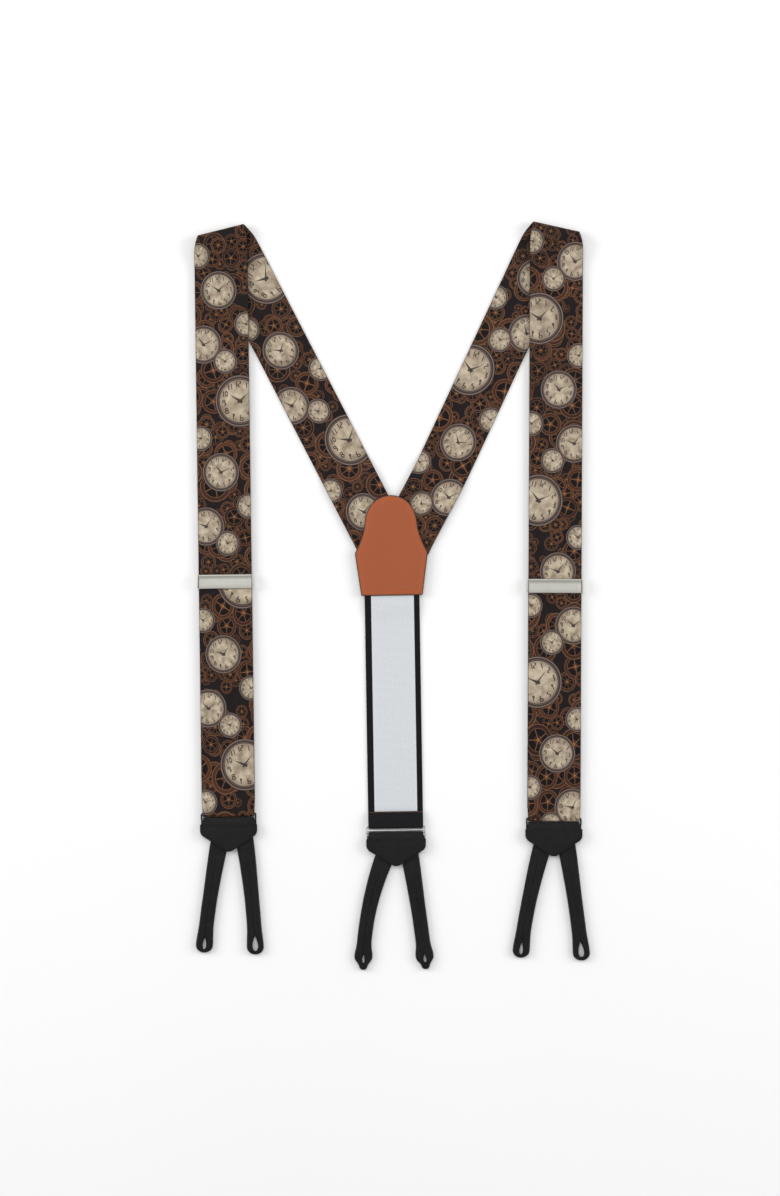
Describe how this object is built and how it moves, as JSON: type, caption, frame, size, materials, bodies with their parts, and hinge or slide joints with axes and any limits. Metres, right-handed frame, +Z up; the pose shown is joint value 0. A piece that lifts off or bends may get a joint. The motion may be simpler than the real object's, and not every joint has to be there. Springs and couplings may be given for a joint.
{
  "type": "suspenders",
  "caption": "Button-on dress suspenders with printed straps, folded at the shoulders: leather back patch, elastic back, sliding metal adjusters, wire rings, leather tabs with button loops.",
  "frame": {"origin": "bottom centre of the bounding box of the suspenders as they lie folded flat", "axes": "+X to the right as seen from above, across both front legs; +Y from the button loops to the shoulder folds; +Z up from the table"},
  "size_m": [0.2784, 0.5276, 0.0076],
  "materials": {
    "printed_strap": "silk-look woven strap printed with gears and watch dials",
    "elastic_face": "ribbed woven elastic, white with black borders",
    "elastic_reverse": "ribbed woven elastic, black",
    "patch_leather": "tan leather with a burnished edge",
    "patch_lining": "dark lining leather",
    "black_leather": "black grained leather, satin",
    "satin_steel": "satin nickel",
    "dark_wire": "black oxidised wire"
  },
  "bodies": {
    "back": {"left_back_strap": "printed_strap", "right_back_strap": "printed_strap", "left_shoulder_fold": "printed_strap", "right_shoulder_fold": "printed_strap", "patch_front": "patch_leather", "patch_lining": "patch_lining", "elastic_web": "elastic_face"},
    "left_front": {"left_front_strap": "printed_strap"},
    "left_strap_end": {"left_strap_bend": "printed_strap"},
    "left_adjuster": {"left_adjuster_frame": "satin_steel", "left_adjuster_pin": "satin_steel", "left_return_strap": "printed_strap"},
    "left_plate": {"left_adjuster_plate": "satin_steel"},
    "left_ring": {"left_ring": "dark_wire"},
    "left_tab": {"left_tab_cover": "black_leather", "left_tab_lining": "black_leather", "left_loop_outer": "black_leather", "left_loop_inner": "black_leather"},
    "right_front": {"right_front_strap": "printed_strap"},
    "right_strap_end": {"right_strap_bend": "printed_strap"},
    "right_adjuster": {"right_adjuster_frame": "satin_steel", "right_adjuster_pin": "satin_steel", "right_return_strap": "printed_strap"},
    "right_plate": {"right_adjuster_plate": "satin_steel"},
    "right_ring": {"right_ring": "dark_wire"},
    "right_tab": {"right_tab_cover": "black_leather", "right_tab_lining": "black_leather", "right_loop_inner": "black_leather", "right_loop_outer": "black_leather"},
    "elastic_end": {"elastic_bend": "elastic_reverse", "elastic_flap": "elastic_reverse"},
    "back_ring": {"back_ring": "satin_steel"},
    "back_tab": {"back_tab_cover": "black_leather", "back_tab_lining": "black_leather", "back_loop_left": "black_leather", "back_loop_right": "black_leather"}
  },
  "joints": [
    {"name": "left_shoulder_fold_hinge", "type": "hinge", "parent": "back", "child": "left_front", "pos_m": [-0.11933, 0.2538, 0.0038], "axis": [-0.9701, -0.2425, 0], "range_deg": [0, 180], "deforming": ["left_shoulder_fold"]},
    {"name": "left_loop_slide", "type": "slide", "parent": "left_front", "child": "left_strap_end", "axis": [-0.0134, 0.9999, 0], "range_m": [-0.04, 0.05], "deforming": ["left_front_strap"]},
    {"name": "left_adjuster_slide", "type": "slide", "parent": "left_strap_end", "child": "left_adjuster", "axis": [-0.0134, 0.9999, 0], "range_m": [-0.04, 0.05], "deforming": ["left_return_strap"]},
    {"name": "left_plate_hinge", "type": "hinge", "parent": "left_adjuster", "child": "left_plate", "pos_m": [-0.11727, 0.014, 0.0048], "axis": [-0.9999, -0.0134, 0], "range_deg": [0, 100]},
    {"name": "left_ring_hinge", "type": "hinge", "parent": "left_strap_end", "child": "left_ring", "pos_m": [-0.11501, -0.15359, 0.0021], "axis": [-0.9999, -0.0134, 0], "range_deg": [0, 90]},
    {"name": "left_tab_hinge", "type": "hinge", "parent": "left_ring", "child": "left_tab", "pos_m": [-0.11495, -0.15839, 0.0021], "axis": [-0.9999, -0.0134, 0], "range_deg": [0, 90]},
    {"name": "right_shoulder_fold_hinge", "type": "hinge", "parent": "back", "child": "right_front", "pos_m": [0.11485, 0.25597, 0.0038], "axis": [-0.9758, 0.2187, 0], "range_deg": [0, 180], "deforming": ["right_shoulder_fold"]},
    {"name": "right_loop_slide", "type": "slide", "parent": "right_front", "child": "right_strap_end", "axis": [0.0045, 1, 0], "range_m": [-0.04, 0.05], "deforming": ["right_front_strap"]},
    {"name": "right_adjuster_slide", "type": "slide", "parent": "right_strap_end", "child": "right_adjuster", "axis": [0.0045, 1, 0], "range_m": [-0.04, 0.05], "deforming": ["right_return_strap"]},
    {"name": "right_plate_hinge", "type": "hinge", "parent": "right_adjuster", "child": "right_plate", "pos_m": [0.11481, 0.01088, 0.0048], "axis": [-1, 0.0045, 0], "range_deg": [0, 100]},
    {"name": "right_ring_hinge", "type": "hinge", "parent": "right_strap_end", "child": "right_ring", "pos_m": [0.11405, -0.15692, 0.0021], "axis": [-1, 0.0045, 0], "range_deg": [0, 90]},
    {"name": "right_tab_hinge", "type": "hinge", "parent": "right_ring", "child": "right_tab", "pos_m": [0.11403, -0.16172, 0.0021], "axis": [-1, 0.0045, 0], "range_deg": [0, 90]},
    {"name": "elastic_stretch", "type": "slide", "parent": "back", "child": "elastic_end", "axis": [0.0164, -0.9999, 0], "range_m": [0, 0.06], "stiffness_N_per_m": 100, "deforming": ["elastic_web"]},
    {"name": "back_ring_hinge", "type": "hinge", "parent": "elastic_end", "child": "back_ring", "pos_m": [0.00275, -0.162, 0.0021], "axis": [-0.9999, -0.0164, 0], "range_deg": [0, 90]},
    {"name": "back_tab_hinge", "type": "hinge", "parent": "back_ring", "child": "back_tab", "pos_m": [0.00286, -0.1686, 0.0021], "axis": [-0.9999, -0.0164, 0], "range_deg": [0, 90]}
  ],
  "couplings": [
    {"joint": "left_adjuster_slide", "follows": "left_loop_slide", "ratio": 1},
    {"joint": "right_adjuster_slide", "follows": "right_loop_slide", "ratio": 1}
  ]
}
